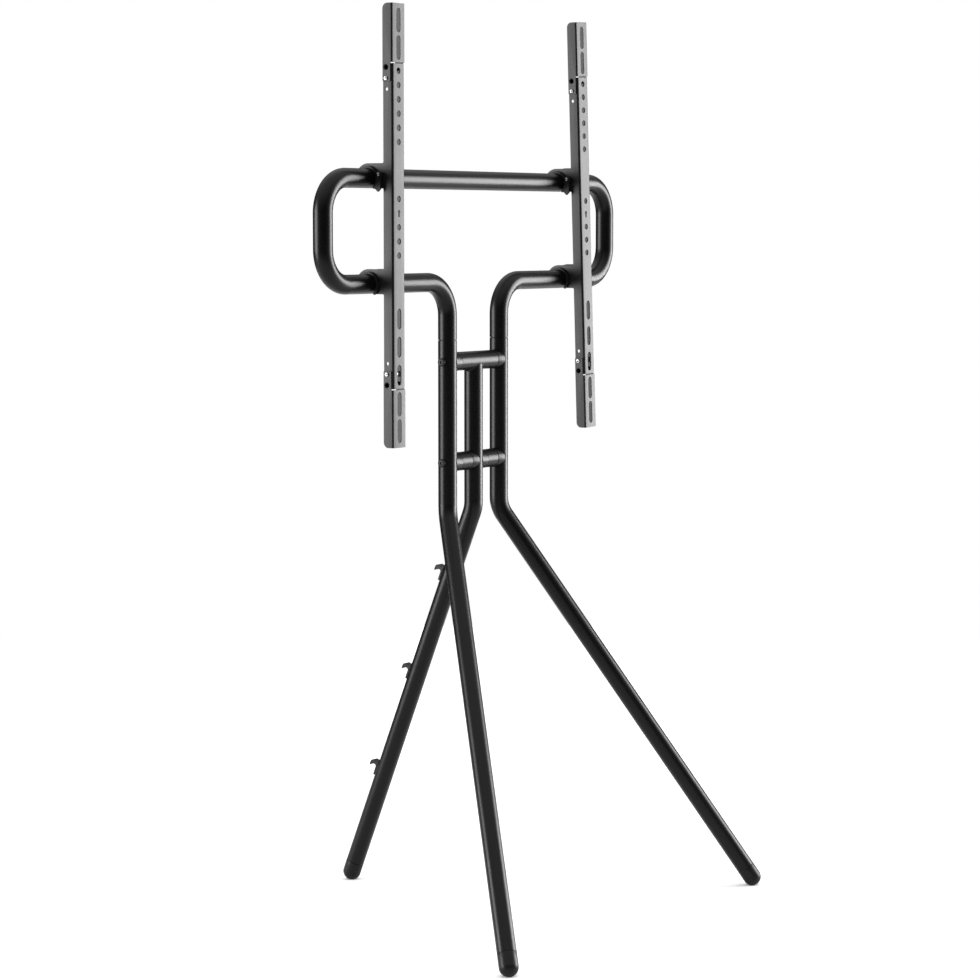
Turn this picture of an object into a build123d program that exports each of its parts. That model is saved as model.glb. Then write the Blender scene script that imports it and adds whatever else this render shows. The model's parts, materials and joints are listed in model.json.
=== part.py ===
from build123d import *
import os

# Three-legged easel stand that carries a flat screen on two hanging arms.
# Millimetres. Z is up, X runs along the bars, and the screen side faces -Y.
# The origin is on the floor, under the middle of the stand's outline.

# Round tube
tube_d = 28.0
tube_wall = 1.5
bend_radius = 50.0        # centre line of every bend

# Head frame
post_spacing = 132.0      # between the axes of the two posts
loop_width = 718.0        # between the axes of the two upright loop ends
bar_gap = 150.0           # between the axes of the two bars
bottom_bar_z = 944.5
seam_z = 858.5            # joint between the head frame and the front legs
seam_gap = 0.8

# Legs, from the posts' plane
front_knee_z = 600.0
foot_spread = 331.5       # front feet, to each side
foot_forward = 298.0      # front feet, in front of the posts
rear_knee_z = 604.0
foot_back = 237.0         # rear foot, behind the posts

# Feet
foot_sleeve = 19.0        # cylindrical part between the tube and the round end
foot_flat_r = 5.0         # flat that the round end stands on
foot_seam = 0.3
foot_stem = 25.0
stem_clearance = 0.1

# Cross tubes and what bolts them to the posts
upper_cross_z = 826.0
lower_cross_z = 676.0
collar_length = 6.0       # from the post's wall to the cross tube's end
collar_proud = 0.4        # collar radius over tube radius
saddle_wrap = 10.0        # how far a saddle reaches round the tube it sits on
fit_gap = 0.05            # between faces that seat on each other
insert_space = 4.0        # left between the two inserts in a lower cross tube
bolt_r = 3.0
bolt_clearance = 0.2
bolt_end_gap = 1.0        # from a bolt's end to the end of its insert
head_r = 5.0
head_height = 2.0
head_edge = 0.5
hex_across = 4.0
hex_depth = 1.4
cup_r = 6.25
cup_floor = 0.4           # under the bolt head, over the post's outermost line
cup_proud = 2.3
spigot_top_gap = 1.5      # under the head frame's bend
spigot_tail = 13.0        # under the upper bolts
spigot_wall = 2.0
spigot_clearance = 0.1

# Cable clips on the back of the rear leg
clip_count = 3
clip_first = 186.0        # from the rear foot's round centre, along the leg
clip_pitch = 170.0
clip_width = 12.0
clip_pad = 2.5            # thickness over the tube
clip_below = 18.0         # pad length below the hook
clip_above = 6.0
clip_reach = 12.0         # hook, out from the pad
clip_band = 1.7           # hook thickness at its tip
clip_drop = 6.7           # hook tip below its root
clip_hook_top = 3.8       # top of the hook, above the clip's own zero
clip_hook_under = 2.0     # its underside, below that zero
clip_bevel = (5.0, 4.8)   # slope at the hook's shoulder, along and down
clip_inner_bevel = 1.5
clip_web = (3.0, 4.0)     # brace between the pad and the hook, out and down
clip_rounding = 1.4
peg_r = 2.4
peg_depth = 5.0

# Arms: a folded channel with its web to the front
arm_width = 28.0
arm_depth = 17.0
arm_sheet = 2.0
arm_bend = 3.0            # outer radius of the folds
arm_neck = 9.15           # from a hook's throat to the back edges of the flanges
neck_rounding = 2.0
hole_pitch = 20.0
hole_d = 9.0
first_hole = 151.6        # above the upper hook's centre
arm_top_margin = 10.4     # from the first hole's centre to the channel's end
arm_bottom_margin = 19.6  # from the last slot's centre to the channel's end
round_holes = (0, 1, 2, 3, 4, 5, 9, 11, 12, 13)
arrow_hole = 10
slot_holes = (17.5, 19.5, 21.5)
slot_length = 29.0
arrow_height = 10.0
arrow_width = 7.4
arrow_stem = 2.8

# Hooks
liner_clearance = 1.3     # liner radius over tube radius
liner_wall = 2.0
liner_lip = 4.5           # lip outside each ear
lip_proud = 1.3
liner_end = 0.5           # liner past the ear's ends
block_inset = 0.6         # liner's block between the ears, inside their outline
block_gap = 0.15          # from the block to each ear
ear_band = 4.9            # ear metal round the liner
ear_back = 1.4            # ear's round end, behind the bar axis
ear_lip = 4.0             # how far the ear comes down behind the bar
heel_front = 11.0         # tip of the ear's heel, in front of the bar axis
heel_short = 2.0          # heel's tip, above the lowest line of the liner's bore
hang_gap = 0.3            # between the bar and the liner that hangs on it

# Catch that turns under the bar
catch_front = 8.0         # pivot, in front of the liner's bore
catch_z = 6.2
catch_thickness = 3.0
catch_eye = 3.6
catch_low = 2.9           # tip, under the liner's bore
catch_back = 1.2          # tip, behind the pivot
catch_half = 4.8          # half width at the shoulders
catch_point = 4.0         # height of the pointed end
catch_flat = 0.6          # half width of the tip
catch_gap = 0.2
catch_groove = 0.8
catch_screw_r = 1.5
catch_head_r = 2.5
catch_head = 1.8

# Arm extensions
extension_sheet = 1.2
extension_gap = 0.1
extension_length = 84.2
extension_slots = (22.0, 60.4)
extension_slot_length = 34.0
extension_corner = 8.0
extension_joint = 1.4
extension_rounding = 2.0  # corners of its tongues
tongue_length = 24.4
side_hole_count = 3
side_hole_first = 5.5     # from the channel's end
side_hole_pitch = 15.3
side_hole_back = 6.2      # from the flanges' back edges
side_hole_r = 2.6
socket_hole_r = 4.3
socket_clearance = 0.15
socket_low = 0.5          # socket's face, under the extension's
socket_bore_r = 3.5
socket_depth = 6.0        # inside the channel
socket_floor = 1.2
pan_r = 3.4
pan_height = 1.6
pan_cross = 3.4
pan_cross_width = 1.0
screw_r = 2.4
nut_r = 4.0
nut_height = 3.0
screw_past_nut = 1.0

# Where the arms hang
left_arm_x = -241.0
left_arm_lean = 0.0
right_arm_x = 237.0
right_arm_lean = 2.8      # degrees, lower end outwards

tube_r = tube_d / 2
bore_r = tube_r - tube_wall
post_x = post_spacing / 2
loop_x = loop_width / 2
top_bar_z = bottom_bar_z + bar_gap
post_y = (foot_forward - foot_back) / 2
foot_z = (tube_r**2 - foot_flat_r**2) ** 0.5
collar_r = tube_r + collar_proud
collar_end = tube_r + collar_length
stub_length = post_x - 2 * collar_end
insert_length = (stub_length - insert_space) / 2
bolt_reach = insert_length - bolt_end_gap
liner_r = tube_r + liner_clearance
throat_r = liner_r + liner_wall + fit_gap
ear_r = throat_r + ear_band
lip_r = liner_r + liner_wall + lip_proud
heel_drop = liner_r - heel_short
flange_y = -(throat_r + arm_neck)
web_y = flange_y - arm_depth
flange_mid = (web_y + flange_y) / 2
half_arm = arm_width / 2
arm_top = first_hole + arm_top_margin
arm_bottom = first_hole - slot_holes[-1] * hole_pitch - arm_bottom_margin
side_y = flange_y - side_hole_back
half_extension = half_arm + extension_gap + extension_sheet
catch_x = -(half_arm + liner_lip + catch_gap)
catch_y = -(liner_r + catch_front)


def rod_x(start, end, radius, y=0.0, z=0.0):
    return Pos((start + end) / 2, y, z) * Rot(0, 90, 0) * Cylinder(radius, abs(end - start))


def rod_z(low, high, radius, x=0.0, y=0.0):
    return Pos(x, y, (low + high) / 2) * Cylinder(radius, high - low)


def bent_tube(points):
    path = FilletPolyline(*points, radius=bend_radius)
    start = Plane(origin=path @ 0, z_dir=path % 0)
    return sweep(start * (Circle(tube_r) - Circle(bore_r)), path=path)


def panel(profile, start, end):
    """A flat piece whose profile is drawn in Y and Z, between two X positions."""
    return Pos(start, 0, 0) * extrude(Plane.YZ * profile, amount=end - start)


def make_head_frame():
    seam_end = seam_z + seam_gap / 2
    corners = [(-post_x, seam_end), (-post_x, bottom_bar_z), (-loop_x, bottom_bar_z), (-loop_x, top_bar_z)]
    corners += [(-x, z) for x, z in reversed(corners)]
    return bent_tube([(x, post_y, z) for x, z in corners])


def leg_plane(foot, knee):
    """Z runs up the leg from the foot's round centre, and Y away from the leg's back."""
    return Plane(origin=foot, x_dir=(1, 0, 0) if foot.X == 0 else None, z_dir=knee - foot)


def leg_tube(top, foot, knee):
    end = foot + (knee - foot).normalized() * (foot_sleeve + foot_seam)
    return bent_tube([top, knee, end])


def make_front_leg(side, foot, knee):
    top = Vector(side * post_x, post_y, seam_z - seam_gap / 2)
    leg = leg_tube(top, foot, knee)
    for z in (upper_cross_z, lower_cross_z):
        leg -= Pos(side * post_x, post_y, z) * rod_x(-tube_d, tube_d, bolt_r + bolt_clearance)
    return leg


def make_rear_leg(foot, knee):
    top = Vector(0, post_y, upper_cross_z - tube_r + saddle_wrap)
    leg = leg_tube(top, foot, knee)
    leg -= rod_x(-post_x, post_x, tube_r + fit_gap, post_y, upper_cross_z)
    leg -= rod_x(-post_x, post_x, bolt_r + bolt_clearance, post_y, lower_cross_z)
    for n in range(clip_count):
        leg -= leg_plane(foot, knee) * clip_peg(clip_first + n * clip_pitch, fit_gap)
    return leg


def make_foot(foot, knee):
    stem_r = bore_r - stem_clearance
    outline = Curve() + ThreePointArc((0, -tube_r), (tube_r * 0.6, -tube_r * 0.8), (tube_r, 0))
    outline += Polyline(
        (tube_r, 0),
        (tube_r, foot_sleeve),
        (stem_r, foot_sleeve),
        (stem_r, foot_sleeve + foot_stem),
        (0, foot_sleeve + foot_stem),
        (0, -tube_r),
    )
    cap = leg_plane(foot, knee) * revolve(Plane.XZ * make_face(outline), axis=Axis.Z)
    floor = Pos(foot.X, foot.Y, -tube_d) * Box(4 * tube_d, 4 * tube_d, 2 * tube_d)
    return cap - floor


def clip_peg(height, grow=0.0):
    return Pos(0, tube_r, height - clip_below / 2 + clip_above / 2) * Rot(90, 0, 0) * Cylinder(
        peg_r + grow, 2 * peg_depth
    )


def make_clip(foot, knee, height):
    pad_face = tube_r + clip_pad
    tip = pad_face + clip_reach
    shoulder, slope = clip_bevel
    out, down = clip_web
    hook = Polyline(
        (tube_r, clip_hook_top),
        (tip - shoulder, clip_hook_top),
        (tip, clip_hook_top - slope),
        (tip, -clip_drop),
        (tip - clip_band, -clip_drop),
        (tip - clip_band - clip_inner_bevel, -clip_hook_under),
        (pad_face + out, -clip_hook_under),
        (pad_face, -clip_hook_under - down),
        (tube_r, -clip_hook_under - down),
        close=True,
    )
    hook = make_face(hook)
    bends = hook.vertices().filter_by(lambda v: v.X > pad_face + out / 2 and v.Y > -clip_drop / 2)
    hook = fillet(bends, clip_rounding)
    pad = Pos(tube_r, (clip_above - clip_below) / 2) * Rectangle(2 * clip_pad, clip_above + clip_below)
    clip = Pos(0, 0, height) * panel(pad + hook, -clip_width / 2, clip_width / 2)
    clip -= rod_z(0, 2 * front_knee_z, tube_r + fit_gap)
    clip += clip_peg(height) & rod_z(0, 2 * front_knee_z, tube_r + clip_pad / 2)
    return leg_plane(foot, knee) * clip


def make_spigot(side):
    outer_r = bore_r - spigot_clearance
    low = upper_cross_z - spigot_tail
    high = bottom_bar_z - bend_radius - spigot_top_gap
    spigot = rod_z(low, high, outer_r) - rod_z(low, high, outer_r - spigot_wall)
    spigot -= rod_x(-tube_r, tube_r, bolt_r + bolt_clearance, 0, upper_cross_z)
    return Pos(side * post_x, post_y, 0) * spigot


def make_cross_tube(start, end, z):
    return rod_x(start, end, tube_r, post_y, z) - rod_x(start, end, bore_r, post_y, z)


def make_collar(tube_x, toward, z):
    """Spacer between an upright tube and the end of a cross tube, cut to sit on the upright."""
    blank = rod_x(tube_r - saddle_wrap, collar_end, collar_r)
    blank -= rod_x(0, collar_end, bolt_r + bolt_clearance)
    blank -= rod_z(-tube_d, tube_d, tube_r + fit_gap)
    return Pos(tube_x, post_y, z) * (blank if toward > 0 else Rot(0, 0, 180) * blank)


def make_insert(tube_x, toward, z):
    start = tube_x + toward * collar_end
    end = start + toward * insert_length
    blank = rod_x(start, end, bore_r - fit_gap, post_y, z)
    return blank - rod_x(start, end, bolt_r + fit_gap, post_y, z)


def make_cup(side, z):
    cup = rod_x(0, tube_r + cup_proud, cup_r)
    cup -= rod_x(tube_r + cup_floor, tube_r + cup_proud, head_r + bolt_clearance)
    cup -= rod_x(0, tube_r + cup_proud, bolt_r + bolt_clearance)
    cup -= rod_z(-tube_d, tube_d, tube_r + fit_gap)
    return Pos(side * post_x, post_y, z) * (cup if side > 0 else Rot(0, 0, 180) * cup)


def make_bolt(side, z):
    seat = tube_r + cup_floor
    bolt = rod_x(seat, seat + head_height, head_r)
    bolt = fillet(bolt.edges().group_by(Axis.X)[-1], head_edge)
    socket = extrude(Plane.YZ * RegularPolygon(hex_across / 2, 6, major_radius=False), amount=hex_depth)
    bolt -= Pos(seat + head_height - hex_depth, 0, 0) * socket
    bolt += rod_x(-collar_end - bolt_reach, seat, bolt_r)
    return Pos(side * post_x, post_y, z) * (bolt if side > 0 else Rot(0, 0, 180) * bolt)


def mouth_cut(drop, heel):
    """Everything under a hook that has to stay open, in Y and Z about the hook's centre."""
    size = 2 * ear_r
    behind = Pos(-heel + size / 2, -drop - size / 2) * Rectangle(size, size)
    below = Pos(-size / 2, -heel_drop - size / 2) * Rectangle(2 * size, size)
    return behind + below


def ear_outline(radius):
    """The hook from its root at the flanges to its round end, before its throat and mouth are cut."""
    root = -flange_y
    ear = Pos(ear_back, 0) * Circle(radius)
    ear += Pos((ear_back - root) / 2, radius / 2) * Rectangle(root + ear_back, radius)
    heel = Pos(-(root + heel_front) / 2, -heel_drop / 2) * Rectangle(root - heel_front, heel_drop)
    return ear + heel


def ear_profile():
    ear = ear_outline(ear_r) - Circle(throat_r) - mouth_cut(ear_lip, heel_front)
    return fillet(ear.vertices().filter_by(lambda v: v.X > 0 and abs(v.Y + ear_lip) < 0.01), ear_band / 3)


def make_channel():
    length = arm_top - arm_bottom
    middle = (arm_top + arm_bottom) / 2
    side = Pos(flange_mid, middle) * Rectangle(arm_depth, length)
    side += ear_profile() + Pos(0, -bar_gap) * ear_profile()
    corners = side.vertices().filter_by(
        lambda v: abs(v.X - flange_y) < 0.01 and arm_bottom + 1 < v.Y < arm_top - 1
    )
    side = fillet(corners, neck_rounding)
    arm = panel(side, -half_arm, -half_arm + arm_sheet) + panel(side, half_arm - arm_sheet, half_arm)
    arm += Pos(0, web_y + arm_sheet / 2, middle) * Box(arm_width, arm_sheet, length)
    folds = arm.edges().filter_by(Axis.Z).filter_by(lambda e: e.length > length - 1)
    inner = folds.filter_by(lambda e: abs(e.center().Y - web_y - arm_sheet) < 0.01)
    arm = fillet(inner, arm_bend - arm_sheet)
    outer = arm.edges().filter_by(Axis.Z).filter_by(
        lambda e: abs(e.center().Y - web_y) < 0.01 and abs(abs(e.center().X) - half_arm) < 0.01
    )
    arm = fillet(outer, arm_bend)
    for n in round_holes:
        arm -= punch(Pos(0, first_hole - n * hole_pitch) * Circle(hole_d / 2), arm_sheet)
    for n in slot_holes:
        slot = Rot(0, 0, 90) * SlotOverall(slot_length, hole_d)
        arm -= punch(Pos(0, first_hole - n * hole_pitch) * slot, arm_sheet)
    arm -= punch(Pos(0, first_hole - arrow_hole * hole_pitch) * arrow_profile(), arm_sheet)
    for end, inward in ((arm_top, -1), (arm_bottom, 1)):
        for n in range(side_hole_count):
            z = end + inward * (side_hole_first + n * side_hole_pitch)
            radius = side_hole_r if n else socket_hole_r
            arm -= rod_x(-arm_width, arm_width, radius, side_y, z)
    return arm


def punch(profile, sheet):
    """A cut through a web, from a profile drawn in X and Z."""
    plane = Plane(origin=(0, web_y + sheet / 2, 0), x_dir=(1, 0, 0), z_dir=(0, -1, 0))
    return extrude(plane * profile, amount=sheet, both=True)


def arrow_profile():
    neck = arrow_height / 2 - arrow_width / 2
    corners = [(-arrow_width / 2, neck), (arrow_width / 2, neck), (0, arrow_height / 2)]
    tip = make_face(Polyline(*corners, close=True))
    stem_top = neck + arrow_stem / 2
    stem = Pos(0, (stem_top - arrow_height / 2) / 2) * Rectangle(arrow_stem, stem_top + arrow_height / 2)
    return tip + stem


def make_extension():
    """The upper one, with Z counted outwards from the channel's end."""
    side_inner = half_extension - extension_sheet
    arm = Rectangle(arm_depth, extension_length - extension_joint)
    arm = Pos(flange_mid, (extension_length + extension_joint) / 2) * arm
    tongue_front = web_y + arm_bend
    arm += Pos((tongue_front + flange_y) / 2, -tongue_length / 2) * Rectangle(
        flange_y - tongue_front, tongue_length + 2 * extension_joint
    )
    corner = arm.vertices().filter_by(lambda v: v.X > flange_mid and v.Y > extension_length / 2)
    arm = fillet(corner, extension_corner)
    arm = fillet(arm.vertices().filter_by(lambda v: v.Y < -tongue_length / 2), extension_rounding)
    body = panel(arm, -half_extension, -side_inner) + panel(arm, side_inner, half_extension)
    web_length = extension_length - extension_joint
    body += Pos(0, web_y + extension_sheet / 2, extension_joint + web_length / 2) * Box(
        2 * half_extension, extension_sheet, web_length
    )
    folds = body.edges().filter_by(Axis.Z).filter_by(lambda e: e.length > web_length - 1)
    body = fillet(folds.filter_by(lambda e: abs(e.center().Y - web_y) < 0.01), 2 * extension_sheet)
    for height in extension_slots:
        slot = Rot(0, 0, 90) * SlotOverall(extension_slot_length, hole_d)
        body -= punch(Pos(0, height) * slot, extension_sheet)
    body -= rod_x(-arm_width, arm_width, socket_hole_r, side_y, -side_hole_first)
    body -= rod_x(-arm_width, arm_width, side_hole_r, side_y, -side_hole_first - side_hole_pitch)
    return body


def make_socket():
    """Blind bush in the end hole of the channel, whose rim lines up the extension."""
    inner = half_arm - arm_sheet - socket_depth
    outer = half_extension - socket_low
    return rod_x(inner, outer, socket_hole_r - socket_clearance) - rod_x(
        inner + socket_floor, outer, socket_bore_r
    )


def make_extension_screw():
    """Lies along X, with its head's underside at X = 0 and its head to +X."""
    head = fillet(rod_x(0, pan_height, pan_r).edges().group_by(Axis.X)[-1], pan_height / 2)
    for turn in (0, 90):
        head -= Rot(turn, 0, 0) * Pos(pan_height, 0, 0) * Box(pan_height, pan_cross, pan_cross_width)
    stack = extension_sheet + extension_gap + arm_sheet + nut_height + screw_past_nut
    return head + rod_x(-stack, 0, screw_r)


def make_nut():
    inner = half_arm - arm_sheet
    return rod_x(inner - nut_height, inner, nut_r) - rod_x(inner - nut_height, inner, screw_r + fit_gap)


def both_sides(piece, z):
    placed = Pos(0, side_y, z) * piece
    return [placed, mirror(placed, about=Plane.YZ)]


def make_liner(with_boss):
    """Sleeve round the bar with a lip outside each ear and a block that fills the hook between them."""
    cut = mouth_cut(ear_lip - liner_end, heel_front)
    sleeve = Circle(throat_r - fit_gap) - Circle(liner_r) - cut
    lip = Circle(lip_r) - Circle(liner_r) - cut
    block = ear_outline(ear_r - block_inset) - Circle(liner_r) - mouth_cut(ear_lip, heel_front)
    inner, outer = half_arm + fit_gap, half_arm + liner_lip
    block_end = half_arm - arm_sheet - block_gap
    liner = panel(sleeve, -outer, outer) + panel(lip, inner, outer) + panel(lip, -outer, -inner)
    liner += panel(block, -block_end, block_end)
    if with_boss:
        boss = Pos(catch_y, catch_z) * Circle(catch_eye)
        boss += Pos(catch_y / 2, catch_z) * Rectangle(-catch_y, 2 * catch_eye)
        liner += panel(boss - Circle(liner_r), -outer, -inner)
        liner -= rod_x(-outer, -inner, catch_screw_r + fit_gap, catch_y, catch_z)
    return liner


def make_catch():
    """A lever on the liner's side, with a claw that points down in front of the bar."""
    low = -liner_r - catch_low
    middle = catch_y + catch_back
    claw = Polyline(
        (catch_y - catch_eye, catch_z),
        (middle - catch_half, low + catch_point),
        (middle - catch_flat, low),
        (middle + catch_flat, low),
        (middle + catch_half, low + catch_point),
        (catch_y + catch_eye, catch_z),
        close=True,
    )
    profile = Pos(catch_y, catch_z) * Circle(catch_eye) + make_face(claw)
    profile -= Pos(catch_y, catch_z) * Circle(catch_screw_r + fit_gap)
    return panel(profile, catch_x - catch_thickness, catch_x)


def make_catch_screw():
    face = catch_x - catch_thickness - fit_gap
    head = rod_x(face - catch_head, face, catch_head_r, catch_y, catch_z)
    head = fillet(head.edges().group_by(Axis.X)[0], catch_head / 2)
    head -= Pos(face - catch_head, catch_y, catch_z) * Box(catch_head, 2 * catch_head_r, catch_groove)
    return head + rod_x(face, -half_arm - fit_gap, catch_screw_r, catch_y, catch_z)


def arm_place(x, lean):
    """An arm hangs with its upper liner a little above the bar, and a leaning one sits lower in it."""
    tilt = (Axis.Z.direction.rotate(Axis.Y, lean)).X
    drop = liner_clearance - hang_gap - (half_arm + liner_lip) * tilt
    return Pos(x, post_y, top_bar_z - drop) * Rot(0, -lean, 0)


def arm_nodes(side, x, lean):
    extension = make_extension()
    screw = Pos(half_extension, 0, 0) * make_extension_screw()
    screw_depth = side_hole_first + side_hole_pitch
    upper_z, lower_z = arm_top - screw_depth, arm_bottom + screw_depth
    local = {
        "arm_channel": [make_channel()],
        "upper_hook_liner": [make_liner(True)],
        "lower_hook_liner": [Pos(0, 0, -bar_gap) * make_liner(False)],
        "hook_catch": [make_catch()],
        "catch_screw": [make_catch_screw()],
        "upper_extension": [Pos(0, 0, arm_top) * extension],
        "lower_extension": [Pos(0, 0, arm_bottom) * mirror(extension, about=Plane.XY)],
        "upper_extension_screws": both_sides(screw, upper_z),
        "lower_extension_screws": both_sides(screw, lower_z),
        "clinch_nuts": both_sides(make_nut(), upper_z) + both_sides(make_nut(), lower_z),
        "blind_bushes": both_sides(make_socket(), arm_top - side_hole_first)
        + both_sides(make_socket(), arm_bottom + side_hole_first),
    }
    place = arm_place(x, lean)
    return {f"{side}_{name}": [place * piece for piece in pieces] for name, pieces in local.items()}


def build():
    feet = {"rear": (Vector(0, post_y + foot_back, foot_z), Vector(0, post_y, rear_knee_z))}
    for side, name in ((-1, "left_front"), (1, "right_front")):
        foot = Vector(side * foot_spread, post_y - foot_forward, foot_z)
        feet[name] = (foot, Vector(side * post_x, post_y, front_knee_z))
    span = post_x - collar_end
    stud = collar_end + bolt_reach
    bolted = [(side, z) for side in (-1, 1) for z in (upper_cross_z, lower_cross_z)]
    nodes = {
        "head_frame": [make_head_frame()],
        "left_spigot": [make_spigot(-1)],
        "right_spigot": [make_spigot(1)],
        "left_front_leg": [make_front_leg(-1, *feet["left_front"])],
        "right_front_leg": [make_front_leg(1, *feet["right_front"])],
        "rear_leg": [make_rear_leg(*feet["rear"])],
        "upper_cross_tube": [make_cross_tube(-span, span, upper_cross_z)],
        "left_lower_cross_tube": [make_cross_tube(-span, -collar_end, lower_cross_z)],
        "right_lower_cross_tube": [make_cross_tube(collar_end, span, lower_cross_z)],
        "upper_left_collar": [make_collar(-post_x, 1, upper_cross_z)],
        "upper_right_collar": [make_collar(post_x, -1, upper_cross_z)],
        "lower_left_outer_collar": [make_collar(-post_x, 1, lower_cross_z)],
        "lower_left_inner_collar": [make_collar(0, -1, lower_cross_z)],
        "lower_right_inner_collar": [make_collar(0, 1, lower_cross_z)],
        "lower_right_outer_collar": [make_collar(post_x, -1, lower_cross_z)],
        "tube_inserts": [make_insert(side * post_x, -side, z) for side, z in bolted]
        + [make_insert(0, side, lower_cross_z) for side in (-1, 1)],
        "post_bolts": [make_bolt(side, z) for side, z in bolted],
        "cup_washers": [make_cup(side, z) for side, z in bolted],
        "centre_stud": [rod_x(-stud, stud, bolt_r, post_y, lower_cross_z)],
    }
    for name, (foot, knee) in feet.items():
        nodes[f"{name}_foot"] = [make_foot(foot, knee)]
    for n, name in enumerate(("lower", "middle", "upper")):
        nodes[f"{name}_cable_clip"] = [make_clip(*feet["rear"], clip_first + n * clip_pitch)]
    nodes.update(arm_nodes("left", left_arm_x, left_arm_lean))
    nodes.update(arm_nodes("right", right_arm_x, right_arm_lean))
    return nodes


os.makedirs("parts", exist_ok=True)
for name, pieces in build().items():
    solids = [solid for piece in pieces for solid in piece.solids()]
    export_step(Compound(children=solids) if len(solids) > 1 else solids[0], f"parts/{name}.step")
    print(name, len(solids))
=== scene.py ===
import json
from math import acos, asin, ceil, cos, pi, radians, sin, sqrt, tan

import bmesh
import bpy
from mathutils import Matrix, Vector
from mathutils.geometry import delaunay_2d_cdt


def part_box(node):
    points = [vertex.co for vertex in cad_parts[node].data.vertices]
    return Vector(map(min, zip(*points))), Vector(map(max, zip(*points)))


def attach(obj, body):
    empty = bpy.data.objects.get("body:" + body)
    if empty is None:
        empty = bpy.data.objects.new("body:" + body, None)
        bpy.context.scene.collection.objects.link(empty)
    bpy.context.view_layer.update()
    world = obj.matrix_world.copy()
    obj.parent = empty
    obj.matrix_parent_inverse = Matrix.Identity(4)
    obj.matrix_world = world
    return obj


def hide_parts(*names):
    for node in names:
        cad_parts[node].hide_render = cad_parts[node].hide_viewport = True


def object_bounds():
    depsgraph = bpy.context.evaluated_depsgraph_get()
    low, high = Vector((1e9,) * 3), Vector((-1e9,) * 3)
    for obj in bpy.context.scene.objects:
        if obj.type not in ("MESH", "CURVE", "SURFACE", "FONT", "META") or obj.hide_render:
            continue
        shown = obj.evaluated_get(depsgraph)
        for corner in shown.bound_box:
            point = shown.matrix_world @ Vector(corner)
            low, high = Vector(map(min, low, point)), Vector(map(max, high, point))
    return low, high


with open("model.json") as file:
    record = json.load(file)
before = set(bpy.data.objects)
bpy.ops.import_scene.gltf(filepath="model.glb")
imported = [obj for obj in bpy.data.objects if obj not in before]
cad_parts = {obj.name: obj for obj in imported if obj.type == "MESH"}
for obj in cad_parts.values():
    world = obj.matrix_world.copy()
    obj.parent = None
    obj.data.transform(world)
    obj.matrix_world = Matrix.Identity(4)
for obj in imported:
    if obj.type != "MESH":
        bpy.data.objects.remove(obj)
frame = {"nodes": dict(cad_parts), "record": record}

# An easel stand for a flat screen: black bent tube, three legs, two hanging arms.
# Lengths in the dictionaries are millimetres; everything in the scene is metres.

cadLow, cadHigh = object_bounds()
mm = 0.001
toMetres = Matrix.Scale(mm, 4)
print("frame loaded:", len(frame["nodes"]), "nodes")


class Wire:
    # a socket in a material; Python's operators add the Math nodes
    def __init__(self, tree, socket=None):
        self.tree = tree
        self.socket = socket

    def node(self, kind, settings=None, values=None, out=0):
        made = self.tree.nodes.new("ShaderNode" + kind)
        for name, value in (settings or {}).items():
            if name == "stops":
                for stop, (place, shade) in zip(made.color_ramp.elements, value):
                    stop.position = place
                    stop.color = (shade, shade, shade, 1)
            else:
                setattr(made, name, value)
        for name, value in (values or {}).items():
            if isinstance(value, Wire):
                self.tree.links.new(value.socket, made.inputs[name])
            else:
                made.inputs[name].default_value = value
        return Wire(self.tree, made.outputs[out])

    def math(self, operation, first, second):
        return self.node("Math", {"operation": operation}, {0: first, 1: second})

    def __add__(self, other):
        return self.math("ADD", self, other)

    def __sub__(self, other):
        return self.math("SUBTRACT", self, other)

    def __rsub__(self, other):
        return self.math("SUBTRACT", other, self)

    def __mul__(self, other):
        return self.math("MULTIPLY", self, other)

    __radd__ = __add__
    __rmul__ = __mul__


def mixColours(wire, factor, first, second):
    return wire.node("Mix", {"data_type": "RGBA"}, {0: factor, 6: (*first, 1), 7: (*second, 1)}, out=2)


def coating(name, look):
    # fine grain over a longer, softer orange peel, with thin and thick patches in the sheen
    material = bpy.data.materials.new(name)
    material.use_nodes = True
    shader = material.node_tree.nodes["Principled BSDF"]
    wire = Wire(material.node_tree)
    place = wire.node("TexCoord", out="Object")
    grain = wire.node("TexNoise", values={"Vector": place, "Scale": 1 / (look["grain"] * mm), "Detail": 2.0})
    peel = wire.node("TexNoise", values={"Vector": place, "Scale": 1 / (look["peel"] * mm), "Detail": 1.0})
    patch = wire.node("TexNoise", values={"Vector": place, "Scale": 1 / (look["patch"] * mm), "Detail": 3.0})
    height = grain * look["grainHeight"] + peel * look["peelHeight"]
    bump = wire.node("Bump", values={"Height": height, "Strength": look["bump"], "Distance": mm})
    sheen = look["roughness"] + (patch - 0.5) * look["uneven"] + (grain - 0.5) * look["sparkle"]
    tone = mixColours(wire, patch * 0.7 + grain * 0.3, look["dark"], look["light"])
    for socket, value in (("Base Color", tone), ("Roughness", sheen), ("Normal", bump)):
        material.node_tree.links.new(value.socket, shader.inputs[socket])
    shader.inputs["Metallic"].default_value = look.get("metallic", 0.0)
    shader.inputs["IOR"].default_value = look.get("ior", 1.5)
    return material


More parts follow.
